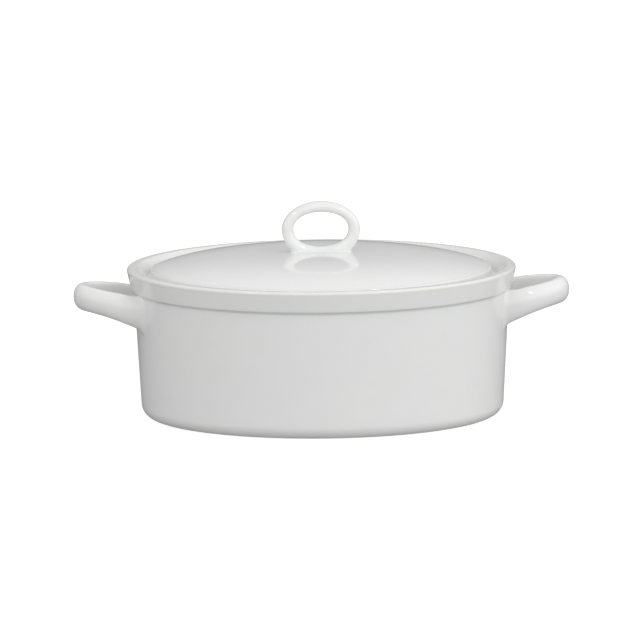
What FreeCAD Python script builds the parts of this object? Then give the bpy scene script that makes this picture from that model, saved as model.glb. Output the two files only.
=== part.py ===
import FreeCAD, Part
import math
import os
import Sketcher
from FreeCAD import Placement, Rotation, Vector

# Covered casserole dish: a round glazed vessel with a stepped collar, two loop handles stuck to
# its wall, and a domed lid with a ring knob, which sits on a ledge inside the collar and lifts off.
# Millimetres, +Z up. The origin is the middle of the foot's underside, and the handles lie along X.

# Driving dimensions: alias, value, what it is.
SIZES = [
    ("rim_radius", "120.6", "outside of the collar at its top"),
    ("rim_height", "92.3", "top of the lip above the surface the dish stands on"),
    ("lip_thickness", "6.6", "lip, across its top"),
    ("lip_round", "2.7", "rounding of both edges of the lip"),
    ("collar_depth", "12.8", "band of the collar, top to bottom"),
    ("collar_flare", "3.1", "how far the collar leans out over its depth"),
    ("collar_step", "1.7", "how far the collar stands out from the wall under it"),
    ("collar_round", "0.7", "rounding along the collar's lower edge"),
    ("wall_taper", "4.7", "how far the wall draws in on its way down to the base"),
    ("wall_thickness", "6.5", "side wall"),
    ("floor_thickness", "8", "floor above the recess in the foot"),
    ("base_round", "8.2", "rounding from the wall into the foot, outside"),
    ("floor_round", "14", "rounding from the wall into the floor, inside"),
    ("foot_width", "7", "unglazed foot ring, across its flat"),
    ("foot_recess", "2", "recess of the underside inside the foot ring"),
    ("foot_round", "0.8", "rounding of the foot ring's inner edge"),
    ("seat_depth", "6.3", "lip's top down to the ledge that the lid rests on"),
    ("ledge_bearing", "4.5", "how far the ledge reaches in under the lid's edge"),
    ("ledge_nose", "4", "depth of the ledge at its inner edge"),
    ("ledge_root", "14", "depth of the ledge where it meets the wall"),
    ("ledge_round", "1.2", "rounding of the ledge's inner edge"),
    ("gallery_round", "2", "cove between the ledge and the collar's inside"),
    ("lid_gap", "9", "lid's edge to the lip's inner edge"),
    ("seat_play", "3", "lid's edge to the foot of the collar's inside, at the ledge"),
    ("lid_edge", "5.4", "lid's edge, from the ledge up to where the dome starts"),
    ("lid_edge_round", "2.4", "rounding at the top of the lid's edge"),
    ("lid_thickness", "6", "lid at its middle"),
    ("dome_rise", "9.6", "lid's middle above its edge"),
    ("crown_radius", "1500", "curve of the lid's nearly flat middle"),
    ("dome_break_radius", "50", "where the flat middle turns into the shoulder"),
    ("flange_play", "1.2", "gap all round between the lid's flange and the ledge"),
    ("flange_thickness", "6", "locating flange under the lid"),
    ("flange_drop", "9", "how far the flange hangs below the ledge"),
    ("flange_root_drop", "2.8", "lid's underside at the flange, below the start of the dome"),
    ("flange_round", "2.5", "rounding of the flange's lower edges"),
    ("knob_half_width", "24.1", "ring knob, half its width"),
    ("knob_rise", "31.4", "ring knob's top above the lid's middle"),
    ("knob_up", "17.4", "ring's widest level up to its top"),
    ("knob_down", "20.9", "ring's widest level down to its lowest point, sunk in the lid"),
    ("knob_side_round", "14", "curve of the ring's outline at its sides"),
    ("knob_side", "7.1", "ring's thickness at its sides"),
    ("knob_bar", "6.7", "ring's thickness at its top"),
    ("knob_depth", "9.4", "ring's thickness from face to face"),
    ("knob_edge_round", "2.9", "rounding of the ring's edges"),
    ("handle_reach", "37.1", "how far a handle stands out from the wall"),
    ("handle_half_span", "32.4", "half of a handle's width along the wall"),
    ("handle_tip_round", "25", "curve of a handle's outline at its tip, seen from above"),
    ("handle_thickness", "8.8", "a handle's strap, seen from above"),
    ("handle_root_gap", "0.4", "collar's lower edge to a handle's top at the wall"),
    ("handle_root_depth", "20.3", "height of the strap at the wall"),
    ("handle_tip_lift", "4.4", "top of the strap at the tip, above its top at the wall"),
    ("handle_tip_depth", "15.8", "height of the strap at the tip"),
    ("handle_belly", "118", "curve of the strap's lower edge, seen from the front"),
    ("handle_edge_round", "3.8", "rounding of the strap's edges"),
    ("cut_margin", "5", "how far a cutting outline runs past what it cuts"),
]

# Sizes that follow from the driving ones: alias, formula, what it is.
FITS = [
    ("collar_base_radius", "=Sizes.rim_radius - Sizes.collar_flare", "collar at its lower edge"),
    ("wall_top_radius", "=collar_base_radius - Sizes.collar_step", "wall under the collar"),
    ("wall_base_radius", "=wall_top_radius - Sizes.wall_taper", "wall's line at the base"),
    ("collar_underside", "=Sizes.rim_height - Sizes.collar_depth", "level of the step"),
    ("lip_inner_radius", "=Sizes.rim_radius - Sizes.lip_thickness", "lip's inner edge"),
    ("lid_radius", "=lip_inner_radius - Sizes.lid_gap", "lid"),
    ("gallery_radius", "=lid_radius + Sizes.seat_play", "collar's inside at the ledge"),
    ("ledge_level", "=Sizes.rim_height - Sizes.seat_depth", "ledge that the lid rests on"),
    ("ledge_inner_radius", "=lid_radius - Sizes.ledge_bearing", "ledge's inner edge"),
    ("ledge_nose_level", "=ledge_level - Sizes.ledge_nose", "ledge's underside, inner edge"),
    ("ledge_root_level", "=ledge_level - Sizes.ledge_root", "ledge's underside at the wall"),
    ("inner_top_radius", "=wall_top_radius - Sizes.wall_thickness", "wall's inside, top"),
    ("inner_base_radius", "=wall_base_radius - Sizes.wall_thickness", "wall's inside, base"),
    ("floor_level", "=Sizes.foot_recess + Sizes.floor_thickness", "floor's top"),
    ("foot_inner_radius", "=wall_base_radius - Sizes.base_round - Sizes.foot_width", "foot ring"),
    ("lid_edge_level", "=ledge_level + Sizes.lid_edge", "where the dome starts"),
    ("lid_crown", "=lid_edge_level + Sizes.dome_rise", "lid's middle, outside"),
    ("lid_inner_crown", "=lid_crown - Sizes.lid_thickness", "lid's middle, inside"),
    ("dome_break_drop", "=Sizes.crown_radius - sqrt(Sizes.crown_radius^2"
     " - Sizes.dome_break_radius^2)", "fall of the dome's flat middle"),
    ("dome_break_level", "=lid_crown - dome_break_drop", "where the shoulder starts"),
    ("shoulder_run", "=lid_radius - Sizes.dome_break_radius", "shoulder's width"),
    ("shoulder_drop", "=Sizes.dome_rise - dome_break_drop", "shoulder's fall"),
    ("shoulder_radius", "=(shoulder_run^2 + shoulder_drop^2) / (2 * (shoulder_drop"
     " * sqrt(1 - (Sizes.dome_break_radius / Sizes.crown_radius)^2)"
     " - shoulder_run * Sizes.dome_break_radius / Sizes.crown_radius))",
     "arc that leaves the flat middle tangentially and ends at the lid's edge"),
    ("flange_outer_radius", "=ledge_inner_radius - Sizes.flange_play", "flange, outside"),
    ("flange_inner_radius", "=flange_outer_radius - Sizes.flange_thickness", "flange, inside"),
    ("flange_level", "=ledge_level - Sizes.flange_drop", "flange's lower end"),
    ("flange_root_level", "=lid_edge_level - Sizes.flange_root_drop", "flange's upper end"),
    ("inner_fall", "=lid_inner_crown - flange_root_level", "fall of the dome's underside"),
    ("inner_dome_radius", "=(flange_inner_radius^2 + inner_fall^2) / (2 * inner_fall)",
     "arc of the dome's underside, level at its middle"),
    ("knob_top", "=lid_crown + Sizes.knob_rise", "ring's top"),
    ("knob_level", "=knob_top - Sizes.knob_up", "ring's widest level"),
    ("opening_half_width", "=Sizes.knob_half_width - Sizes.knob_side", "ring's opening"),
    ("opening_half_height", "=Sizes.knob_up - Sizes.knob_bar", "ring's opening"),
    ("opening_side_round", "=Sizes.knob_side_round * opening_half_height / Sizes.knob_up",
     "curve of the opening at its sides"),
    ("knob_cut_level", "=knob_level - Sizes.knob_down - Sizes.cut_margin", "below the ring"),
    ("loop_inner_reach", "=Sizes.handle_reach - Sizes.handle_thickness", "finger gap"),
    ("loop_inner_half_span", "=Sizes.handle_half_span - Sizes.handle_thickness", "finger gap"),
    ("loop_inner_round", "=Sizes.handle_tip_round - Sizes.handle_thickness", "finger gap"),
    ("handle_tip", "=wall_top_radius + Sizes.handle_reach", "handle's tip from the axis"),
    ("handle_root_top", "=collar_underside - Sizes.handle_root_gap", "strap's top at the wall"),
    ("handle_root_base", "=handle_root_top - Sizes.handle_root_depth", "strap's foot at the wall"),
    ("handle_tip_top", "=handle_root_top + Sizes.handle_tip_lift", "strap's top at the tip"),
    ("handle_tip_base", "=handle_tip_top - Sizes.handle_tip_depth", "strap's foot at the tip"),
    ("handle_blank_top", "=handle_tip_top + Sizes.cut_margin", "block that the loop is cut from"),
    ("handle_back", "=wall_top_radius - Sizes.handle_reach", "loop's far side, inside the wall"),
    ("handle_back_top", "=handle_root_top - Sizes.handle_tip_lift", "strap's top carried on there"),
    ("belly_rise", "=handle_tip_base - handle_root_base", "rise of the strap's lower edge"),
    ("belly_chord", "=sqrt(Sizes.handle_reach^2 + belly_rise^2)", "wall to tip, straight"),
    ("belly_offset", "=sqrt(Sizes.handle_belly^2 - belly_chord^2 / 4)", "chord to arc's centre"),
    ("belly_across", "=wall_top_radius + Sizes.handle_reach / 2"
     " + belly_offset * belly_rise / belly_chord", "centre of the lower edge's arc"),
    ("belly_up", "=handle_root_base + belly_rise / 2"
     " - belly_offset * Sizes.handle_reach / belly_chord", "centre of the lower edge's arc"),
    ("handle_back_base", "=belly_up + sqrt(Sizes.handle_belly^2"
     " - (belly_across - handle_back)^2)", "strap's lower edge carried on inside the wall"),
]

EDGE_MATCH = 0.01      # how near an edge lies to the corner that it is looked up by
HALF_TURN = 180.0
AXIS = None            # a corner's coordinate that lies on the sketch's own axis
ORIGIN = (-1, 1)
H_AXIS = -1
V_AXIS = -2
START, END, CENTRE = 1, 2, 3


class Model:
    """The document, its two sheets and what the sub-parts ask of them."""

    def __init__(self, name):
        self.doc = FreeCAD.newDocument(name)
        self.sheets = {}
        self.home = {}
        self.add_sheet("Sizes", SIZES)
        self.add_sheet("Fits", FITS)
        self.bodies = []

    def add_sheet(self, name, rows):
        sheet = self.doc.addObject("Spreadsheet::Sheet", name)
        for row, (alias, content, note) in enumerate(rows, start=1):
            sheet.set(f"A{row}", note)
            sheet.set(f"B{row}", content)
            sheet.setAlias(f"B{row}", alias)
            self.home[alias] = name
        self.doc.recompute()
        self.sheets[name] = sheet

    def cell(self, alias):
        """The alias as an expression."""
        return f"{self.home[alias]}.{alias}"

    def value(self, alias):
        return float(getattr(self.sheets[self.home[alias]], alias))

    def body(self, label, turn=0.0):
        """A new body, turned about the dish's axis by turn degrees."""
        body = self.doc.addObject("PartDesign::Body", label)
        body.Label = label
        body.Placement = Placement(Vector(0, 0, 0), Rotation(Vector(0, 0, 1), turn))
        self.bodies.append(body)
        return body


class Outline:
    """A sketch on one of its body's own planes. Corners are named by sheet aliases."""

    def __init__(self, model, body, name, plane):
        self.model = model
        self.sketch = body.newObject("Sketcher::SketchObject", name)
        support = [item for item in body.Origin.OriginFeatures if item.Role == plane][0]
        self.sketch.AttachmentSupport = (support, [""])
        self.sketch.MapMode = "FlatFace"

    def size(self, alias):
        return 0.0 if alias is AXIS else self.model.value(alias)

    def tie(self, *constraint):
        return self.sketch.addConstraint(Sketcher.Constraint(*constraint))

    def bind(self, *constraint, to):
        """A dimension held at a sheet value."""
        index = self.tie(*constraint, self.model.value(to))
        self.sketch.setExpression(f"Constraints[{index}]", self.model.cell(to))

    def place(self, geometry, vertex, across, up):
        """Holds one vertex at two sheet values, or on an axis where the alias is AXIS."""
        if across is AXIS:
            self.tie("PointOnObject", geometry, vertex, V_AXIS)
        else:
            self.bind("DistanceX", *ORIGIN, geometry, vertex, to=across)
        if up is AXIS:
            self.tie("PointOnObject", geometry, vertex, H_AXIS)
        else:
            self.bind("DistanceY", *ORIGIN, geometry, vertex, to=up)

    def side(self, start, end, radius, hand):
        """One side of a polygon: a line, or an arc of the named radius. Seen along the side,
        the arc's centre is on the left for hand 1 and on the right for hand -1."""
        if radius is None:
            return self.sketch.addGeometry(Part.LineSegment(start, end)), START, END
        length = self.model.value(radius)
        chord = end - start
        across = Vector(-chord.y, chord.x, 0).normalize() * hand
        centre = (start + end) * 0.5 + across * math.sqrt(length ** 2 - chord.Length ** 2 / 4)
        first, last = (start, end) if hand > 0 else (end, start)
        angles = [math.atan2(p.y - centre.y, p.x - centre.x) for p in (first, last)]
        circle = Part.Circle(centre, Vector(0, 0, 1), length)
        index = self.sketch.addGeometry(Part.ArcOfCircle(circle, *angles))
        self.bind("Radius", index, to=radius)
        return (index, START, END) if hand > 0 else (index, END, START)

    def polygon(self, corners):
        """A closed outline. A corner is (across, up), or (across, up, radius, hand) where the
        side that arrives there is an arc."""
        spots = [Vector(self.size(c[0]), self.size(c[1]), 0) for c in corners]
        sides = []
        for index, corner in enumerate(corners):
            arc = corner[2:] or (None, 0)
            sides.append(self.side(spots[index - 1], spots[index], *arc))
        for index, corner in enumerate(corners):
            geometry, _, vertex = sides[index]
            after, arrival, _ = sides[(index + 1) % len(sides)]
            self.tie("Coincident", geometry, vertex, after, arrival)
            self.place(geometry, vertex, *corner[:2])

    def oval(self, centre, half_width, up, down, side_round):
        """Four arcs, each tangent to the next: right side, top, left side, base."""
        middle = Vector(self.size(centre[0]), self.size(centre[1]), 0)
        narrow, rise, fall = self.size(side_round), self.size(up), self.size(down)
        run = self.size(half_width) - narrow
        top, base = [(run ** 2 + high ** 2 - narrow ** 2) / (2 * (high - narrow))
                     for high in (rise, fall)]
        over, under = math.atan2(top - rise, run), math.atan2(base - fall, run)
        arcs = [
            (run, 0, narrow, -under, over),
            (0, rise - top, top, over, math.pi - over),
            (-run, 0, narrow, math.pi - over, math.pi + under),
            (0, base - fall, base, math.pi + under, -under),
        ]
        sides = []
        for across, height, radius, first, last in arcs:
            circle = Part.Circle(middle + Vector(across, height, 0), Vector(0, 0, 1), radius)
            sides.append(self.sketch.addGeometry(Part.ArcOfCircle(circle, first, last)))
        for index, side in enumerate(sides):
            self.tie("Tangent", sides[index - 1], END, side, START)
        heart = self.sketch.addGeometry(Part.Point(middle), True)
        self.place(heart, START, *centre)
        for side in sides[::2]:
            self.bind("Radius", side, to=side_round)
            self.tie("Horizontal", heart, START, side, CENTRE)
        ways = (("Horizontal", "DistanceX", Vector(1, 0, 0)),
                ("Vertical", "DistanceY", Vector(0, 1, 0)))
        for index, (side, reach) in enumerate(zip(sides, (half_width, up, half_width, down))):
            level, distance, way = ways[index % 2]
            ahead = index < 2
            spot = middle + way * (self.size(reach) * (1 if ahead else -1))
            tip = self.sketch.addGeometry(Part.Point(spot), True)
            self.tie(level, heart, START, tip, START)
            self.tie("PointOnObject", tip, START, side)
            pair = (heart, START, tip, START) if ahead else (tip, START, heart, START)
            self.bind(distance, *pair, to=reach)


def feature(body, kind, name, outline):
    """A feature of the body that takes its outline from a sketch."""
    made = body.newObject(f"PartDesign::{kind}", name)
    made.Profile = (outline.sketch, [""])
    return made


def revolve(body, kind, name, outline):
    """A full turn of the outline about the sketch's upright axis."""
    made = feature(body, kind, name, outline)
    made.ReferenceAxis = (outline.sketch, ["V_Axis"])
    made.Angle = 2 * HALF_TURN
    return made


def round_edges(model, body, name, radius, edges):
    """A fillet along the given edges of the body as it stands."""
    base = body.Tip
    fillet = body.newObject("PartDesign::Fillet", name)
    fillet.Base = (base, edges)
    fillet.setExpression("Radius", model.cell(radius))
    model.doc.recompute()


def rings(model, body, *corners):
    """The names of the circles that the outline's corners swept round the axis."""
    found = []
    for across, up in corners:
        level = 0.0 if up is AXIS else model.value(up)
        for index, edge in enumerate(body.Tip.Shape.Edges, start=1):
            if edge.Degenerated or not isinstance(edge.Curve, Part.Circle):
                continue
            off = abs(edge.Curve.Radius - model.value(across)), abs(edge.Curve.Center.z - level)
            if max(off) < EDGE_MATCH:
                found.append(f"Edge{index}")
    if len(found) != len(corners):
        raise RuntimeError(f"{body.Label}: {len(found)} of {len(corners)} rings found")
    return found


def removed(model, body, cut):
    """Stops if a cut took nothing away."""
    model.doc.recompute()
    before = cut.BaseFeature.Shape.Volume
    if not cut.Shape.Volume < before - 1:
        raise RuntimeError(f"{body.Label}: {cut.Name} cuts nothing")


def make_dish_body(model):
    """The vessel: foot, tapered wall, collar, lip, the ledge for the lid, and the hollow."""
    body = model.body("dish_body")
    outline = Outline(model, body, "dish_section", "XZ_Plane")
    outline.polygon([
        (AXIS, "foot_recess"),
        ("foot_inner_radius", "foot_recess"),
        ("foot_inner_radius", AXIS),
        ("wall_base_radius", AXIS),
        ("wall_top_radius", "collar_underside"),
        ("collar_base_radius", "collar_underside"),
        ("rim_radius", "rim_height"),
        ("lip_inner_radius", "rim_height"),
        ("gallery_radius", "ledge_level"),
        ("ledge_inner_radius", "ledge_level"),
        ("ledge_inner_radius", "ledge_nose_level"),
        ("inner_top_radius", "ledge_root_level"),
        ("inner_base_radius", "floor_level"),
        (AXIS, "floor_level"),
    ])
    revolve(body, "Revolution", "dish_turned", outline)
    model.doc.recompute()
    for name, radius, corners in (
            ("base_rounded", "base_round", [("wall_base_radius", AXIS)]),
            ("floor_rounded", "floor_round", [("inner_base_radius", "floor_level")]),
            ("lip_rounded", "lip_round", [("rim_radius", "rim_height"),
                                          ("lip_inner_radius", "rim_height")]),
            ("collar_rounded", "collar_round", [("collar_base_radius", "collar_underside"),
                                                ("wall_top_radius", "collar_underside")]),
            ("gallery_rounded", "gallery_round", [("gallery_radius", "ledge_level")]),
            ("ledge_rounded", "ledge_round", [("ledge_inner_radius", "ledge_level"),
                                              ("ledge_inner_radius", "ledge_nose_level")]),
            ("foot_rounded", "foot_round", [("foot_inner_radius", AXIS)])):
        round_edges(model, body, name, radius, rings(model, body, *corners))


def make_handle(model, label, turn):
    """A loop handle: a flat ring, shaped from the side, rounded, and cut to the wall's cone."""
    body = model.body(label, turn)
    loop = Outline(model, body, f"{label}_loop", "XY_Plane")
    middle = ("wall_top_radius", AXIS)
    loop.oval(middle, "handle_reach", "handle_half_span", "handle_half_span",
              "handle_tip_round")
    loop.oval(middle, "loop_inner_reach", "loop_inner_half_span", "loop_inner_half_span",
              "loop_inner_round")
    blank = feature(body, "Pad", f"{label}_blank", loop)
    blank.setExpression("Length", model.cell("handle_blank_top"))
    model.doc.recompute()

    sides = Outline(model, body, f"{label}_sides", "XZ_Plane")
    sides.polygon([
        ("handle_back", "handle_back_top"),
        ("handle_tip", "handle_tip_top"),
        ("handle_tip", "handle_blank_top"),
        ("handle_back", "handle_blank_top"),
    ])
    sides.polygon([
        ("handle_back", AXIS),
        ("handle_tip", AXIS),
        ("handle_tip", "handle_tip_base"),
        ("handle_back", "handle_back_base", "handle_belly", 1),
    ])
    shaped = feature(body, "Pocket", f"{label}_shaped", sides)
    shaped.Type = "ThroughAll"
    shaped.SideType = "Symmetric"
    removed(model, body, shaped)

    long_edges = [f"Edge{index}" for index, edge in enumerate(shaped.Shape.Edges, start=1)
                  if not isinstance(edge.Curve, Part.Line)]
    round_edges(model, body, f"{label}_rounded", "handle_edge_round", long_edges)

    cone = Outline(model, body, f"{label}_wall", "XZ_Plane")
    cone.polygon([
        (AXIS, AXIS),
        ("wall_base_radius", AXIS),
        ("wall_top_radius", "collar_underside"),
        (AXIS, "collar_underside"),
    ])
    removed(model, body, revolve(body, "Groove", f"{label}_cut_to_wall", cone))


def make_lid(model):
    """The lid: dome, rounded edge that rests on the ledge, and the flange that centres it."""
    body = model.body("lid")
    outline = Outline(model, body, "lid_section", "XZ_Plane")
    outline.polygon([
        (AXIS, "lid_inner_crown"),
        ("flange_inner_radius", "flange_root_level", "inner_dome_radius", -1),
        ("flange_inner_radius", "flange_level"),
        ("flange_outer_radius", "flange_level"),
        ("flange_outer_radius", "ledge_level"),
        ("lid_radius", "ledge_level"),
        ("lid_radius", "lid_edge_level"),
        ("dome_break_radius", "dome_break_level", "shoulder_radius", 1),
        (AXIS, "lid_crown", "crown_radius", 1),
    ])
    revolve(body, "Revolution", "lid_turned", outline)
    model.doc.recompute()
    for name, radius, corners in (
            ("edge_rounded", "lid_edge_round", [("lid_radius", "lid_edge_level")]),
            ("flange_rounded", "flange_round", [("flange_inner_radius", "flange_level"),
                                                ("flange_outer_radius", "flange_level")])):
        round_edges(model, body, name, radius, rings(model, body, *corners))


def make_lid_knob(model):
    """The ring knob, standing on edge along X, with its foot cut to the lid's crown."""
    body = model.body("lid_knob")
    ring = Outline(model, body, "knob_ring", "XZ_Plane")
    middle = (AXIS, "knob_level")
    ring.oval(middle, "knob_half_width", "knob_up", "knob_down", "knob_side_round")
    ring.oval(middle, "opening_half_width", "opening_half_height", "opening_half_height",
              "opening_side_round")
    blank = feature(body, "Pad", "knob_blank", ring)
    blank.SideType = "Symmetric"
    blank.setExpression("Length", model.cell("knob_depth"))
    model.doc.recompute()
    edges = [f"Edge{index}" for index, edge in enumerate(blank.Shape.Edges, start=1)
             if edge.BoundBox.YLength < EDGE_MATCH]
    round_edges(model, body, "knob_rounded", "knob_edge_round", edges)

    crown = Outline(model, body, "knob_seat", "XZ_Plane")
    crown.polygon([
        (AXIS, "knob_cut_level"),
        ("dome_break_radius", "knob_cut_level"),
        ("dome_break_radius", "dome_break_level"),
        (AXIS, "lid_crown", "crown_radius", 1),
    ])
    removed(model, body, revolve(body, "Groove", "knob_cut_to_lid", crown))


def check(model):
    """Stops if an object failed to compute or a sub-part isn't one valid solid."""
    for item in model.doc.Objects:
        if {"Invalid", "Error"} & set(item.State):
            raise RuntimeError(f"{item.Name}: {item.State}")
    for body in model.bodies:
        shape = body.Shape
        if shape.isNull() or not shape.isValid() or len(shape.Solids) != 1:
            raise RuntimeError(f"{body.Label}: not one valid solid")


def main():
    model = Model("casserole_dish")
    make_dish_body(model)
    make_handle(model, "right_handle", 0.0)
    make_handle(model, "left_handle", HALF_TURN)
    make_lid(model)
    make_lid_knob(model)
    model.doc.recompute()
    check(model)
    os.makedirs("parts", exist_ok=True)
    for body in model.bodies:
        body.Shape.exportStep(f"parts/{body.Label}.step")
        box = body.Shape.optimalBoundingBox()
        print(f"{body.Label}: {body.Shape.Volume / 1000:.1f} cm3,"
              f" X {box.XMin:.2f}..{box.XMax:.2f}, Y {box.YMin:.2f}..{box.YMax:.2f},"
              f" Z {box.ZMin:.2f}..{box.ZMax:.2f}")


main()
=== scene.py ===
import math

import bpy
import numpy as np
from mathutils import Matrix, Vector


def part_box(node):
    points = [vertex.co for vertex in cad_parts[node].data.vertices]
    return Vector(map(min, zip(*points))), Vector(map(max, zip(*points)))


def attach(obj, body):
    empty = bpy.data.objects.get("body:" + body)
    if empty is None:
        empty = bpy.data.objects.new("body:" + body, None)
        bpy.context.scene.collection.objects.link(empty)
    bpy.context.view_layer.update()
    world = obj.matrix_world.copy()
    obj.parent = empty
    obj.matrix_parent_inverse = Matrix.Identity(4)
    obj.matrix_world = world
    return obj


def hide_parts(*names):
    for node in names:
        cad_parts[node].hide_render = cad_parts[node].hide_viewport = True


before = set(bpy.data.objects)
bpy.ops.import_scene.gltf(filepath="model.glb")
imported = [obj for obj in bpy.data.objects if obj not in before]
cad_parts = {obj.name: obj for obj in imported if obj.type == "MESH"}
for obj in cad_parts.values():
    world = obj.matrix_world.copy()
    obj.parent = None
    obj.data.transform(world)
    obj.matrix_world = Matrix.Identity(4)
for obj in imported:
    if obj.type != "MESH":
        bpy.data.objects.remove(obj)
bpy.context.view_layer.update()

# A glazed porcelain casserole: dish, two strap handles, domed lid and ring knob, each a closed
# skin worked out from the places of the CAD nodes. Metres, +Z up, the dish's axis at x = y = 0.

MM = 0.001
DISH_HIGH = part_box("dish_body")[1]
HANDLE_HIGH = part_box("right_handle")[1]
LID_LOW, LID_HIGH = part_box("lid")
KNOB_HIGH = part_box("lid_knob")[1]

# The vessel: distances across from its axis, and levels above the table.
LIP_ROUND = 1.7 * MM
LIP_CORNER = DISH_HIGH.x + 0.73 * MM    # the CAD lip's corner, before it is rounded
LIP_OUTER = DISH_HIGH.x + 0.46 * MM     # the corner of this lip, whose round is smaller
LIP_LEVEL = DISH_HIGH.z
LIP_INNER = LIP_CORNER - 6.6 * MM
COLLAR_BASE = LIP_CORNER - 3.1 * MM
COLLAR_LEVEL = LIP_LEVEL - 12.8 * MM
WALL_TOP = COLLAR_BASE - 1.7 * MM
STEP_SLOPE = 1.1 * MM                   # fall of the collar's underside towards the wall
WALL_BASE = WALL_TOP - 4.7 * MM
WALL_THICK = 6.5 * MM
BASE_ROUND = 8.2 * MM
FOOT_INNER = WALL_BASE - BASE_ROUND - 7 * MM
FOOT_RECESS = 2 * MM
FOOT_SLOPE = 2 * MM
FLOOR_LEVEL = FOOT_RECESS + 8 * MM
FLOOR_ROUND = 14 * MM
LEDGE_LEVEL = LIP_LEVEL - 6.3 * MM
LEDGE_BASE = LEDGE_LEVEL - 4 * MM
HOLLOW_TOP = LEDGE_LEVEL - 14 * MM      # where the ledge's underside meets the inner wall

# The lid.
LID_RADIUS = LID_HIGH.x
LID_CROWN = LID_HIGH.z
LID_EDGE = LEDGE_LEVEL + 5.4 * MM
LID_THICK = 6 * MM
EDGE_THICK = 2.8 * MM
EDGE_ROUND = 1.4 * MM
EDGE_BAND = 3 * MM                      # the dome's last stretch, left to the edge's round
DOME_POWER = 3.4
GALLERY = LID_RADIUS + 3 * MM
LEDGE_INNER = LID_RADIUS - 4.5 * MM
FLANGE_OUTER = LEDGE_INNER - 1.2 * MM
FLANGE_INNER = FLANGE_OUTER - 6 * MM

# The strap handles.
STRAP = 4.4 * MM                        # half its thickness
STRAP_SQUARE = 2.7
CREST_IN = 1.5 * MM
REACH = HANDLE_HIGH.x - WALL_TOP - STRAP
HALF_SPAN = HANDLE_HIGH.y - STRAP
TIP_ROUND = 20.6 * MM
ROOT_TOP = COLLAR_LEVEL - 0.4 * MM
ROOT_BASE = ROOT_TOP - 20.3 * MM
TIP_LIFT = 4.4 * MM
TIP_DEPTH = 15.8 * MM
BELLY_POWER = 1.8
LOOP_END = 76                           # degrees either side of the tip
ROOT_COVE = 3 * MM
ROOT_LEAD = (3.6 * MM, 2.4 * MM, 1.2 * MM)
ROOT_SUNK = (-0.03 * MM, -2.5 * MM)
SUNK_GROWTH = 0.8 * MM
GROWTH_LOST = 0.55                      # share of the cove's growth lost under the collar

# The ring knob: an oval bar round an oval opening, both about KNOB_LEVEL.
KNOB_UP = 17.4 * MM
KNOB_DOWN = 20.9 * MM
KNOB_LEVEL = KNOB_HIGH.z - KNOB_UP
KNOB_WIDE = KNOB_HIGH.x
KNOB_DEEP = KNOB_HIGH.y
KNOB_OVAL = 1.97
HOLE_WIDE = KNOB_WIDE - 7.1 * MM
HOLE_TALL = 10.7 * MM
HOLE_OVAL = 2.1
KNOB_SQUARE = 2.35
KNOB_COVE = 2 * MM

# How thinly glaze lies: above 0 it has run thin, and below 0 it has pooled.
STRAP_EDGE_GLAZE = 0.35
KNOB_GLAZE = 0.2
COVE_GLAZE = -0.5

NEAR_AXIS = 1 * MM      # radius of the small flat that closes a turned skin at its axis
ROUND_STEPS = 12        # points along a rounded corner
TURNS = 320             # points round the dish and the lid
SECTION = 48            # points round the section of a handle or the knob's bar
STRAIGHT = 3 * MM       # longest step along a straight stretch of a profile
BARE_NOWHERE = -1.0     # a level that no glazed piece reaches


# ---- closed skins ----

def ring_order(rings, joined):
    """Faces over a grid of rings: quads between neighbours, and triangles that close the ends."""
    count, around = rings.shape[:2]
    index = np.arange(count * around).reshape(count, around)
    ahead = np.roll(index, -1, axis=1)
    low = slice(None) if joined else slice(0, -1)
    up, up_ahead = np.roll(index, -1, axis=0), np.roll(ahead, -1, axis=0)
    quads = np.stack([index[low], ahead[low], up_ahead[low], up[low]], axis=-1).reshape(-1, 4)
    if joined:
        return quads, np.zeros((0, 3), int)
    first, last = np.full(around, count * around), np.full(around, count * around + 1)
    ends = [np.stack([ahead[0], index[0], first], axis=-1),
            np.stack([index[-1], ahead[-1], last], axis=-1)]
    return quads, np.concatenate(ends)


def skin(rings, glaze, joined=False):
    """A closed skin over rings of points, shape (rings, points, 3). The end rings are closed by
    fans round their middles, or joined to each other. glaze has one number for each point."""
    points, depth = rings.reshape(-1, 3), np.broadcast_to(glaze, rings.shape[:2]).reshape(-1)
    if not joined:
        ends = np.stack([rings[0].mean(axis=0), rings[-1].mean(axis=0)])
        points = np.concatenate([points, ends])
        depth = np.concatenate([depth, depth[:1], depth[-1:]])
    quads, triangles = ring_order(rings, joined)
    halves = np.concatenate([quads[:, [0, 1, 2]], quads[:, [0, 2, 3]], triangles])
    a, b, c = (points[halves[:, corner]] for corner in range(3))
    if (a * np.cross(b, c)).sum() < 0:
        quads, triangles = quads[:, ::-1], triangles[:, ::-1]
    return points, quads, triangles, depth


def piece(name, body, nodes, material, skins):
    """One object made of closed skins, riding on a body in place of CAD nodes."""
    points, faces, depths, start = [], [], [], 0
    for spots, quads, triangles, depth in skins:
        points.append(spots)
        depths.append(depth)
        faces += (quads + start).tolist() + (triangles + start).tolist()
        start += len(spots)
    mesh = bpy.data.meshes.new(name)
    mesh.from_pydata(np.concatenate(points).tolist(), [], faces)
    mesh.shade_smooth()
    layer = mesh.attributes.new("glaze_depth", "FLOAT", "POINT")
    layer.data.foreach_set("value", np.concatenate(depths).astype(np.float32))
    mesh.materials.append(material)
    made = bpy.data.objects.new(name, mesh)
    bpy.context.scene.collection.objects.link(made)
    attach(made, body)
    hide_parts(*nodes)
    return made


# ---- profiles ----

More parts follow.
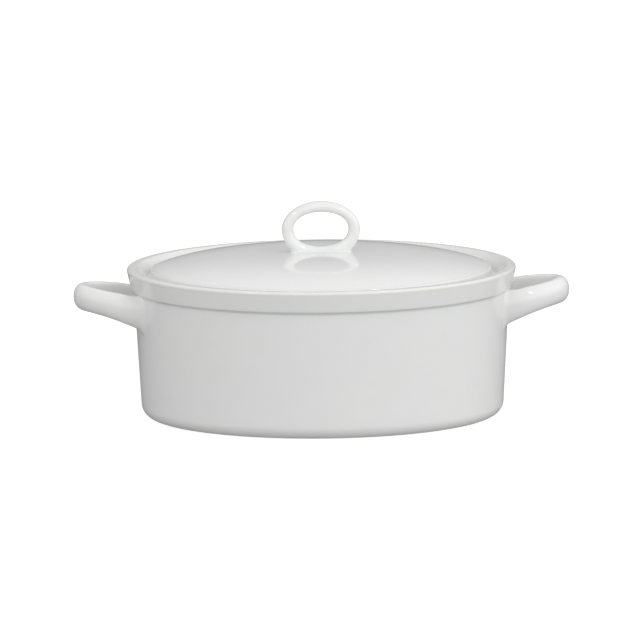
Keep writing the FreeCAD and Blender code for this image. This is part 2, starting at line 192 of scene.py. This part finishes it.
def rounded(corners):
    """A profile through corners (across, up, round). Each corner is an arc of its own radius,
    tangent to both neighbours: it starts round * tan(half the turn) before the corner."""
    spots = np.array([c[:2] for c in corners], float)
    runs = np.diff(spots, axis=0)
    ways = runs / np.hypot(*runs.T)[:, None]
    path = [spots[:1]]
    for spot, radius, before, after in zip(spots[1:-1], [c[2] for c in corners[1:-1]],
                                           ways, ways[1:]):
        turn = math.atan2(before[0] * after[1] - before[1] * after[0], before @ after)
        if radius == 0 or abs(turn) < 1e-4:
            path.append(spot[None])
            continue
        start = spot - before * radius * math.tan(abs(turn) / 2)
        inward = np.array([-before[1], before[0]]) * math.copysign(1, turn)
        along = np.linspace(0, abs(turn), ROUND_STEPS)[:, None]
        path.append(start + radius * (np.sin(along) * before + (1 - np.cos(along)) * inward))
    path.append(spots[-1:])
    return filled(np.concatenate(path))


def filled(path):
    """The same profile with its straight stretches cut into steps of at most STRAIGHT."""
    length = np.hypot(*np.diff(path, axis=0).T)
    cuts = np.maximum(1, np.ceil(length / STRAIGHT)).astype(int)
    along = np.concatenate([[0], np.cumsum(length)])
    share = np.concatenate([i + np.arange(n) / n for i, n in enumerate(cuts)] + [[len(cuts)]])
    place = np.interp(share, np.arange(len(along)), along)
    return np.stack([np.interp(place, along, path[:, axis]) for axis in (0, 1)], axis=-1)


def bend(profile, reach=1.6 * MM):
    """How far the profile turns between reach before a point and reach after it, in right
    angles: positive on an outer edge, where glaze runs thin, and negative in a cove."""
    steps = np.diff(profile, axis=0)
    length = np.hypot(*steps.T)
    along = np.concatenate([[0], np.cumsum(length)])
    middle = (along[1:] + along[:-1]) / 2
    heading = np.unwrap(np.arctan2(steps[:, 1], steps[:, 0]))
    after = np.interp(along + reach, middle, heading)
    before = np.interp(along - reach, middle, heading)
    return (after - before) / (math.pi / 2)


def turned_skin(profile, waver):
    """A profile turned about Z. The radius wavers by waver * cos(2 angle + height / 30 mm),
    the slight warp that every fired pot has."""
    angle = np.linspace(0, 2 * math.pi, TURNS, endpoint=False)
    across, up = profile[:, :1], profile[:, 1:]
    warp = 1 + waver * np.cos(2 * angle + up / (30 * MM)) / LIP_CORNER
    radius = across * warp
    rings = np.stack([radius * np.cos(angle), radius * np.sin(angle),
                      np.broadcast_to(up, radius.shape)], axis=-1)
    return skin(rings, bend(profile)[:, None])


def power(angle, exponent):
    """Sine of an angle on a superellipse: sign(sin) * |sin| ^ (2 / exponent)."""
    sine = np.sin(angle)
    return np.sign(sine) * np.abs(sine) ** (2 / exponent)


def smooth_step(value, low, high):
    """0 below low, 1 above high, and 3 share ^ 2 - 2 share ^ 3 between."""
    share = np.clip((value - low) / (high - low), 0, 1)
    return share * share * (3 - 2 * share)


# ---- the pieces ----

def dish(material):
    """Foot ring, rounded base, tapered wall, stepped collar, lip, sloping gallery, the ledge
    that carries the lid, and the hollow: one profile from the axis out, up and back in."""
    profile = rounded([
        (NEAR_AXIS, FOOT_RECESS, 0),
        (FOOT_INNER - FOOT_SLOPE, FOOT_RECESS, 3 * MM),
        (FOOT_INNER, 0, 0.9 * MM),
        (WALL_BASE, 0, BASE_ROUND),
        (WALL_TOP, COLLAR_LEVEL - STEP_SLOPE, 2.2 * MM),
        (COLLAR_BASE, COLLAR_LEVEL, 1.3 * MM),
        (LIP_OUTER, LIP_LEVEL, LIP_ROUND),
        (LIP_INNER, LIP_LEVEL, LIP_ROUND),
        (GALLERY, LEDGE_LEVEL, 2 * MM),
        (LEDGE_INNER, LEDGE_LEVEL, 1.2 * MM),
        (LEDGE_INNER, LEDGE_BASE, 1.6 * MM),
        (WALL_TOP - WALL_THICK, HOLLOW_TOP, 5 * MM),
        (WALL_BASE - WALL_THICK, FLOOR_LEVEL, FLOOR_ROUND),
        (NEAR_AXIS, FLOOR_LEVEL, 0),
    ])
    return piece("porcelain_dish", "dish", ["dish_body"], material,
                 [turned_skin(profile, 0.10 * MM)])


def crown_level(radius):
    """The dome's level: it falls from the crown by the lid's rise times (radius / edge radius)
    to the power DOME_POWER."""
    return LID_CROWN - (LID_CROWN - LID_EDGE) * (radius / LID_RADIUS) ** DOME_POWER


def lid(material):
    """A hollow that falls by (radius / flange radius) ^ 2, down and up round the flange, out
    under the rim, over its edge and back to the crown along the dome."""
    flange_level = LID_LOW.z
    under_crown = LID_CROWN - LID_THICK
    under_flange = LID_EDGE - EDGE_THICK
    inside = np.linspace(NEAR_AXIS, FLANGE_INNER, 50)[:-1]
    hollow = under_crown - (under_crown - under_flange) * (inside / FLANGE_INNER) ** 2
    corners = [(r, z, 0) for r, z in zip(inside, hollow)]
    corners += [
        (FLANGE_INNER, under_flange, 3 * MM),
        (FLANGE_INNER, flange_level, 2.5 * MM),
        (FLANGE_OUTER, flange_level, 2.5 * MM),
        (FLANGE_OUTER, LEDGE_LEVEL, 1.2 * MM),
        (LID_RADIUS, LEDGE_LEVEL, 1.2 * MM),
        (LID_RADIUS, LID_EDGE, EDGE_ROUND),
    ]
    out = np.linspace(NEAR_AXIS, LID_RADIUS, 60)
    out = out[out < LID_RADIUS - EDGE_BAND][::-1]
    corners += [(r, z, 0) for r, z in zip(out, crown_level(out))]
    return piece("porcelain_lid", "cover", ["lid"], material,
                 [turned_skin(rounded(corners), 0.08 * MM)])


def outer_radius(up):
    """The dish's outside at a level: the wall's cone, and above the step the collar's cone."""
    wall = WALL_BASE + (WALL_TOP - WALL_BASE) * up / COLLAR_LEVEL
    flare = (LIP_CORNER - COLLAR_BASE) / (LIP_LEVEL - COLLAR_LEVEL)
    collar = COLLAR_BASE + flare * (up - COLLAR_LEVEL)
    return wall, collar


def strap_levels(share):
    """Middle and half height of the strap at a share of its reach: its top rises in a straight
    line, and its belly rises by 1 - (1 - share) ^ BELLY_POWER."""
    top = ROOT_TOP + TIP_LIFT * share
    rise = ROOT_TOP + TIP_LIFT - TIP_DEPTH - ROOT_BASE
    base = ROOT_BASE + rise * (1 - (1 - share) ** BELLY_POWER)
    return (top + base) / 2, (top - base) / 2


def strap_section(around):
    """The strap's section: across and height on a superellipse, both from -1 to 1, and how far
    out it lies. Crest and keel lean in by CREST_IN * height ^ 2, so the outer face is full."""
    across, height = power(around + math.pi / 2, STRAP_SQUARE), power(around, STRAP_SQUARE)
    return across, height, STRAP * across - CREST_IN * height ** 2


def root_rings(side, around, long_round):
    """The strap's end at the wall. A ring stands off the wall by cove * (1 - sin lean) and grows
    by cove * (1 - cos lean), which is a round cove tangent to the strap and to the wall. It grows
    less upwards, under the collar. Three rings lead in, and the last two lie inside the wall."""
    lean = np.concatenate([np.zeros(3), np.linspace(0, math.pi / 2, 9), [math.pi / 2] * 2])
    off = ROOT_COVE * (1 - np.sin(lean))
    off[:3] += ROOT_LEAD
    off[-2:] = ROOT_SUNK
    grow = ROOT_COVE * (1 - np.cos(lean))
    grow[-2:] += SUNK_GROWTH
    middle_level = (ROOT_TOP + ROOT_BASE) / 2
    foot = np.sqrt((outer_radius(middle_level)[0] + off) ** 2 - HALF_SPAN ** 2)
    middle, half = strap_levels((foot - WALL_TOP) / REACH)
    bow = long_round - np.sqrt(long_round ** 2 - np.maximum(foot - WALL_TOP, 0) ** 2)
    across, height, side_way = strap_section(around)
    normal = np.stack([np.broadcast_to(np.sign(across) * np.abs(across) ** (STRAP_SQUARE - 1),
                                       (len(foot), len(around))) / STRAP,
                       np.sign(height) * np.abs(height) ** (STRAP_SQUARE - 1) / half[:, None]])
    normal = normal / np.hypot(*normal)
    grow = grow[:, None] * (1 - GROWTH_LOST * np.maximum(normal[1], 0))
    out = HALF_SPAN - bow[:, None] + side_way + grow * normal[0]
    up = middle[:, None] + half[:, None] * height + grow * normal[1]
    wall, collar = outer_radius(up)
    true = np.where(up > COLLAR_LEVEL, collar, wall)
    eased = wall + (collar - wall) * smooth_step(up, COLLAR_LEVEL - 3 * MM, COLLAR_LEVEL + 1 * MM)
    flush = (np.sin(lean) ** 2)[:, None]
    radius = eased + (true - eased) * flush + off[:, None]
    return np.stack([np.sqrt(radius ** 2 - out ** 2), side * out, up], axis=-1)


def strap_handle(name, node, way, material):
    """A strap carried along a half oval of two radii. A point of the oval is its arc's centre
    plus its radius along the normal, and strap_section lies across that normal."""
    run = REACH - TIP_ROUND
    long_round = (run ** 2 + HALF_SPAN ** 2 - TIP_ROUND ** 2) / (2 * (HALF_SPAN - TIP_ROUND))
    change = math.atan2(long_round - HALF_SPAN, run)
    around = np.linspace(0, 2 * math.pi, SECTION, endpoint=False)
    turn = np.radians(np.linspace(LOOP_END, -LOOP_END, 91))[:, None]
    at_tip = np.abs(turn) < change
    hub_x = np.where(at_tip, run, 0)
    hub_y = np.where(at_tip, 0, np.sign(turn) * (HALF_SPAN - long_round))
    radius = np.where(at_tip, TIP_ROUND, long_round)
    across, height, side_way = strap_section(around)
    middle, half = strap_levels((hub_x + radius * np.cos(turn)) / REACH)
    loop = np.stack([WALL_TOP + hub_x + (radius + side_way) * np.cos(turn),
                     hub_y + (radius + side_way) * np.sin(turn),
                     middle + half * height], axis=-1)
    rings = np.concatenate([root_rings(1, around, long_round)[::-1], loop,
                            root_rings(-1, around, long_round)])
    rings[..., :2] *= way
    edge = STRAP_EDGE_GLAZE * np.abs(height * across)
    return piece(name, "dish", [node], material, [skin(rings, edge[None, :])])


def oval_radius(angle, wide, high, low, square):
    """Polar radius of an oval: (|cos / wide| ^ square + |sin / tall| ^ square) ^ (-1 / square),
    with its own height above and below the widest level."""
    tall = np.where(np.sin(angle) > 0, high, low)
    reach = np.abs(np.cos(angle) / wide) ** square + np.abs(np.sin(angle) / tall) ** square
    return reach ** (-1 / square)


def ring_bar(angle):
    """Middle radius and half thickness of the knob's bar at an angle round the ring."""
    outer = oval_radius(angle, KNOB_WIDE, KNOB_UP, KNOB_DOWN, KNOB_OVAL)
    inner = oval_radius(angle, HOLE_WIDE, HOLE_TALL, HOLE_TALL, HOLE_OVAL)
    return (outer + inner) / 2, (outer - inner) / 2


def knob_slice(heading, level):
    """Distance from the axis to the bar's skin along a heading, at a level under the opening,
    found by halving: a point is inside while |e| ^ n + |y / depth| ^ n < 1."""
    low, high = np.zeros_like(level), np.full_like(level, 1.3 * KNOB_WIDE)
    for _ in range(40):
        tried = (low + high) / 2
        x, y, z = tried * np.cos(heading), tried * np.sin(heading), level - KNOB_LEVEL
        middle, half = ring_bar(np.arctan2(z, x))
        e = (np.hypot(x, z) - middle) / half
        inside = np.abs(e) ** KNOB_SQUARE + np.abs(y / KNOB_DEEP) ** KNOB_SQUARE < 1
        low, high = np.where(inside, tried, low), np.where(inside, high, tried)
    return (low + high) / 2


def knob_cove():
    """The glaze-filled cove round the knob's foot: a closed bead whose outside is a round cove
    between the bar and the dome, and whose back lies inside both. lift is the height over the
    dome, and grow the distance from the bar."""
    heading = np.linspace(0, 2 * math.pi, 160, endpoint=False)
    lean = np.linspace(0, math.pi / 2, 10)
    bead_end = KNOB_COVE + 0.6 * MM
    in_bar, skin_of_bar = -1.2 * MM, -0.04 * MM
    in_dome, skin_of_dome = -1 * MM, -0.03 * MM
    lift = np.concatenate([[bead_end] * 2, KNOB_COVE * (1 - np.sin(lean)),
                           [skin_of_dome, in_dome, in_dome]])
    grow = np.concatenate([[in_bar, skin_of_bar], KNOB_COVE * (1 - np.cos(lean)),
                           [bead_end, bead_end, in_bar]])
    level = LID_CROWN + np.maximum(lift, 0)[:, None] * np.ones_like(heading)
    out = knob_slice(np.broadcast_to(heading, level.shape), level)
    edge = np.stack([out * np.cos(heading), out * np.sin(heading)], axis=-1)
    along = np.roll(edge, -1, axis=1) - np.roll(edge, 1, axis=1)
    normal = np.stack([along[..., 1], -along[..., 0]], axis=-1)
    normal /= np.hypot(normal[..., 0], normal[..., 1])[..., None]
    flat = edge + grow[:, None, None] * normal
    up = crown_level(np.hypot(flat[..., 0], flat[..., 1])) + lift[:, None]
    rings = np.concatenate([flat, up[..., None]], axis=-1)
    return skin(rings, COVE_GLAZE, joined=True)


def ring_knob(material):
    """A bar carried round an oval: from the ring's middle, distance is middle radius plus half
    thickness times a superellipse's cosine, and depth is KNOB_DEEP times its sine."""
    angle = np.linspace(0, 2 * math.pi, 224, endpoint=False)[:, None]
    around = np.linspace(0, 2 * math.pi, SECTION, endpoint=False)
    middle, half = ring_bar(angle)
    reach = middle + half * power(around + math.pi / 2, KNOB_SQUARE)
    depth = np.broadcast_to(KNOB_DEEP * power(around, KNOB_SQUARE), reach.shape)
    rings = np.stack([reach * np.cos(angle), depth, KNOB_LEVEL + reach * np.sin(angle)], axis=-1)
    return piece("porcelain_ring_knob", "cover", ["lid_knob"], material,
                 [skin(rings, KNOB_GLAZE, joined=True), knob_cove()])


# ---- shading ----

class Number:
    """A socket in arithmetic: each operator adds its Math node."""

    def __init__(self, shade, socket):
        self.shade = shade
        self.socket = socket

    def __add__(self, other):
        return self.shade.maths("ADD", self, other)

    def __sub__(self, other):
        return self.shade.maths("SUBTRACT", self, other)

    def __rsub__(self, other):
        return self.shade.maths("SUBTRACT", other, self)

    def __mul__(self, other):
        return self.shade.maths("MULTIPLY", self, other)

    __radd__ = __add__
    __rmul__ = __mul__


class Shade:
    """The node tree of one material or world."""

    def __init__(self, tree):
        self.tree = tree
        tree.nodes.clear()

    def node(self, kind, settings=None, **inputs):
        """A node of a kind: its settings first, then its sockets' values or links. A socket's
        name is written with _ for each space."""
        made = self.tree.nodes.new(kind)
        for name, value in (settings or {}).items():
            setattr(made, name, value)
        for name, value in inputs.items():
            self.feed(made.inputs[name.replace("_", " ")], value)
        return made

    def feed(self, socket, value):
        """Link a socket to an input, or set the input's own value."""
        if isinstance(value, Number):
            value = value.socket
        if isinstance(value, bpy.types.NodeSocket):
            self.tree.links.new(value, socket)
        else:
            socket.default_value = value

    def maths(self, operation, *values):
        """One Math node over numbers and sockets."""
        made = self.node("ShaderNodeMath", {"operation": operation})
        for socket, value in zip(made.inputs, values):
            self.feed(socket, value)
        return Number(self, made.outputs[0])

    def number(self, socket):
        return Number(self, socket)

    def step(self, value, low, high):
        """0 below low, 1 above high, smooth between."""
        made = self.node("ShaderNodeMapRange", {"interpolation_type": "SMOOTHSTEP"},
                         Value=value, From_Min=low, From_Max=high)
        return self.number(made.outputs["Result"])

    def noise(self, place, size, detail=2.0):
        """Even noise with bumps of about the given size, from 0 to 1."""
        made = self.node("ShaderNodeTexNoise", {"noise_dimensions": "3D"},
                         Vector=place, Scale=1 / size, Detail=detail)
        return self.number(made.outputs["Fac"])

    def tint(self, factor, first, second):
        """The first colour at factor 0, and the second at 1."""
        made = self.node("ShaderNodeMix", {"data_type": "RGBA"})
        for name, value in (("Factor_Float", factor), ("A_Color", first), ("B_Color", second)):
            socket = [s for s in made.inputs if s.identifier == name][0]
            self.feed(socket, value)
        return [s for s in made.outputs if s.identifier == "Result_Color"][0]


def porcelain(name, bare_level):
    """Clear glossy glaze over a white body. It runs thin on outer edges, where the body shows a
    little warm, and gathers a little cool in coves. The rings that stand on the kiln shelf,
    level with bare_level, are bare, grainy and dull."""
    material = bpy.data.materials.new(name)
    material.use_nodes = True
    shade = Shade(material.node_tree)
    place = shade.node("ShaderNodeTexCoord").outputs["Object"]
    parts = shade.node("ShaderNodeSeparateXYZ", Vector=place).outputs
    depth = shade.number(shade.node("ShaderNodeAttribute", {"attribute_name": "glaze_depth"})
                         .outputs["Fac"])
    drift = shade.noise(place, 60 * MM)
    cloud = shade.noise(place, 11 * MM, 3.0)
    peel = shade.noise(place, 1.3 * MM, 1.0)
    sag = shade.noise(place, 16 * MM, 1.0)
    grain = shade.noise(place, 0.35 * MM, 4.0)

    height = shade.number(parts["Z"])
    bare = shade.step(height, bare_level + 0.45 * MM, bare_level + 0.12 * MM)
    white = shade.tint(drift, (0.775, 0.780, 0.778, 1), (0.800, 0.798, 0.788, 1))
    clouded = shade.tint(shade.step(cloud, 0.35, 0.75) * 0.35, white, (0.765, 0.766, 0.758, 1))
    thin = shade.tint(shade.step(depth, 0.12, 0.8) * 0.55, clouded, (0.735, 0.720, 0.690, 1))
    pooled = shade.tint(shade.step(depth, -0.12, -0.8) * 0.5, thin, (0.700, 0.730, 0.740, 1))
    bisque = shade.tint(grain, (0.640, 0.610, 0.560, 1), (0.790, 0.765, 0.715, 1))
    colour = shade.tint(bare, pooled, bisque)

    gloss = 0.030 + 0.022 * cloud + 0.012 * drift
    roughness = gloss + bare * (0.78 - gloss)
    relief = shade.node("ShaderNodeBump", Strength=0.35, Distance=0.06 * MM,
                        Height=peel * 0.18 + sag * (1 - bare) * 0.7)
    rough_relief = shade.node("ShaderNodeBump", Strength=0.6, Distance=0.12 * MM,
                              Height=grain * bare, Normal=relief.outputs["Normal"])
    surface = shade.node("ShaderNodeBsdfPrincipled", Base_Color=colour, Roughness=roughness,
                         IOR=1.52, Normal=rough_relief.outputs["Normal"])
    shade.node("ShaderNodeOutputMaterial", Surface=surface.outputs[0])
    return material


def floor_paint():
    """A plain pale table that shows only a faint contact shadow."""
    material = bpy.data.materials.new("pale_table")
    material.use_nodes = True
    shade = Shade(material.node_tree)
    surface = shade.node("ShaderNodeBsdfPrincipled", Base_Color=(0.3, 0.3, 0.3, 1), Roughness=0.9,
                         Emission_Color=(1, 1, 1, 1), Emission_Strength=0.84)
    shade.node("ShaderNodeOutputMaterial", Surface=surface.outputs[0])
    return material


# ---- the studio ----

def studio_table():
    """A wide flat table, a hair below the foot ring. It lights nothing, so that the dish keeps
    its darker underside."""
    reach = 30.0
    hair = 0.05 * MM
    mesh = bpy.data.meshes.new("table")
    mesh.from_pydata([(-reach, -reach, 0), (reach, -reach, 0), (reach, reach, 0),
                      (-reach, reach, 0)], [], [(0, 1, 2, 3)])
    mesh.materials.append(floor_paint())
    table = bpy.data.objects.new("table", mesh)
    bpy.context.scene.collection.objects.link(table)
    table.location.z = -hair
    table.visible_diffuse = False
    table.visible_glossy = False


def studio_dome():
    """Soft light from a whole pale room, a little stronger from the right. In front it is
    brightest at the table's level. Behind the dish it is dim at that level and below, which
    draws the dark line round the glaze's outline."""
    world = bpy.data.worlds.new("studio")
    world.use_nodes = True
    shade = Shade(world.node_tree)
    way = shade.node("ShaderNodeSeparateXYZ",
                     Vector=shade.node("ShaderNodeTexCoord").outputs["Generated"]).outputs
    x, y, z = (shade.number(way[axis]) for axis in "XYZ")
    behind = shade.step(y, 0.0, 0.80)
    front = 1.60 - 0.86 * shade.step(z, 0.25, 0.90)
    back = 0.44 + 0.30 * shade.step(z, 0.15, 0.60)
    above = front + (back - front) * behind
    below = 0.40 - 0.13 * behind
    strength = (below + (above - below) * shade.step(z, -0.10, 0.10)) * (1 + 0.19 * x)
    light = shade.node("ShaderNodeBackground", Color=(0.993, 1, 0.996, 1), Strength=strength)
    shade.node("ShaderNodeOutputWorld", Surface=light.outputs[0])
    bpy.context.scene.world = world


def studio_lamp(name, place, aim, size, power_watts):
    """A round lamp of the given diameter that looks at a point."""
    lamp = bpy.data.lights.new(name, "AREA")
    lamp.shape = "DISK"
    lamp.size = size
    lamp.energy = power_watts
    holder = bpy.data.objects.new(name, lamp)
    bpy.context.scene.collection.objects.link(holder)
    holder.location = place
    holder.rotation_euler = (Vector(aim) - Vector(place)).to_track_quat("-Z", "Y").to_euler()


def camera():
    """A long lens far off, low and a little to the left of square on, turned slightly."""
    distance = 10.446
    height, yaw, roll = math.radians(8.225), math.radians(2.75), math.radians(-0.564)
    look = Vector((0, 0, 39.13 * MM))
    shift_left, shift_up = 1.11 * MM, 19.04 * MM
    long_lens = 952.86
    eye = look + distance * Vector((-math.sin(yaw) * math.cos(height),
                                    -math.cos(yaw) * math.cos(height), math.sin(height)))
    back = (eye - look).normalized()
    right = Vector((math.cos(yaw), -math.sin(yaw), 0))
    aim = look - right * shift_left + back.cross(right) * shift_up
    back = (eye - aim).normalized()
    right = Vector((0, 0, 1)).cross(back).normalized()
    turn = Matrix((right, back.cross(right), back)).transposed() @ Matrix.Rotation(roll, 3, "Z")
    data = bpy.data.cameras.new("camera")
    data.sensor_width = 36
    data.lens = long_lens
    data.clip_end = 60
    holder = bpy.data.objects.new("camera", data)
    bpy.context.scene.collection.objects.link(holder)
    holder.matrix_world = Matrix.Translation(eye) @ turn.to_4x4()
    bpy.context.scene.camera = holder


camera()
bpy.context.scene.view_settings.view_transform = "Standard"
studio_dome()
studio_table()
mid_wall = (0, 0, 50 * MM)
studio_lamp("key", (1.25, -1.45, 1.9), mid_wall, 0.34, 5)
studio_lamp("fill", (-1.5, -1.2, 1.9), mid_wall, 0.24, 3)

dish_glaze = porcelain("porcelain_glaze_dish", 0.0)
plain_glaze = porcelain("porcelain_glaze", BARE_NOWHERE)
dish(dish_glaze)
strap_handle("porcelain_handle_right", "right_handle", 1, plain_glaze)
strap_handle("porcelain_handle_left", "left_handle", -1, plain_glaze)
lid(plain_glaze)
ring_knob(plain_glaze)
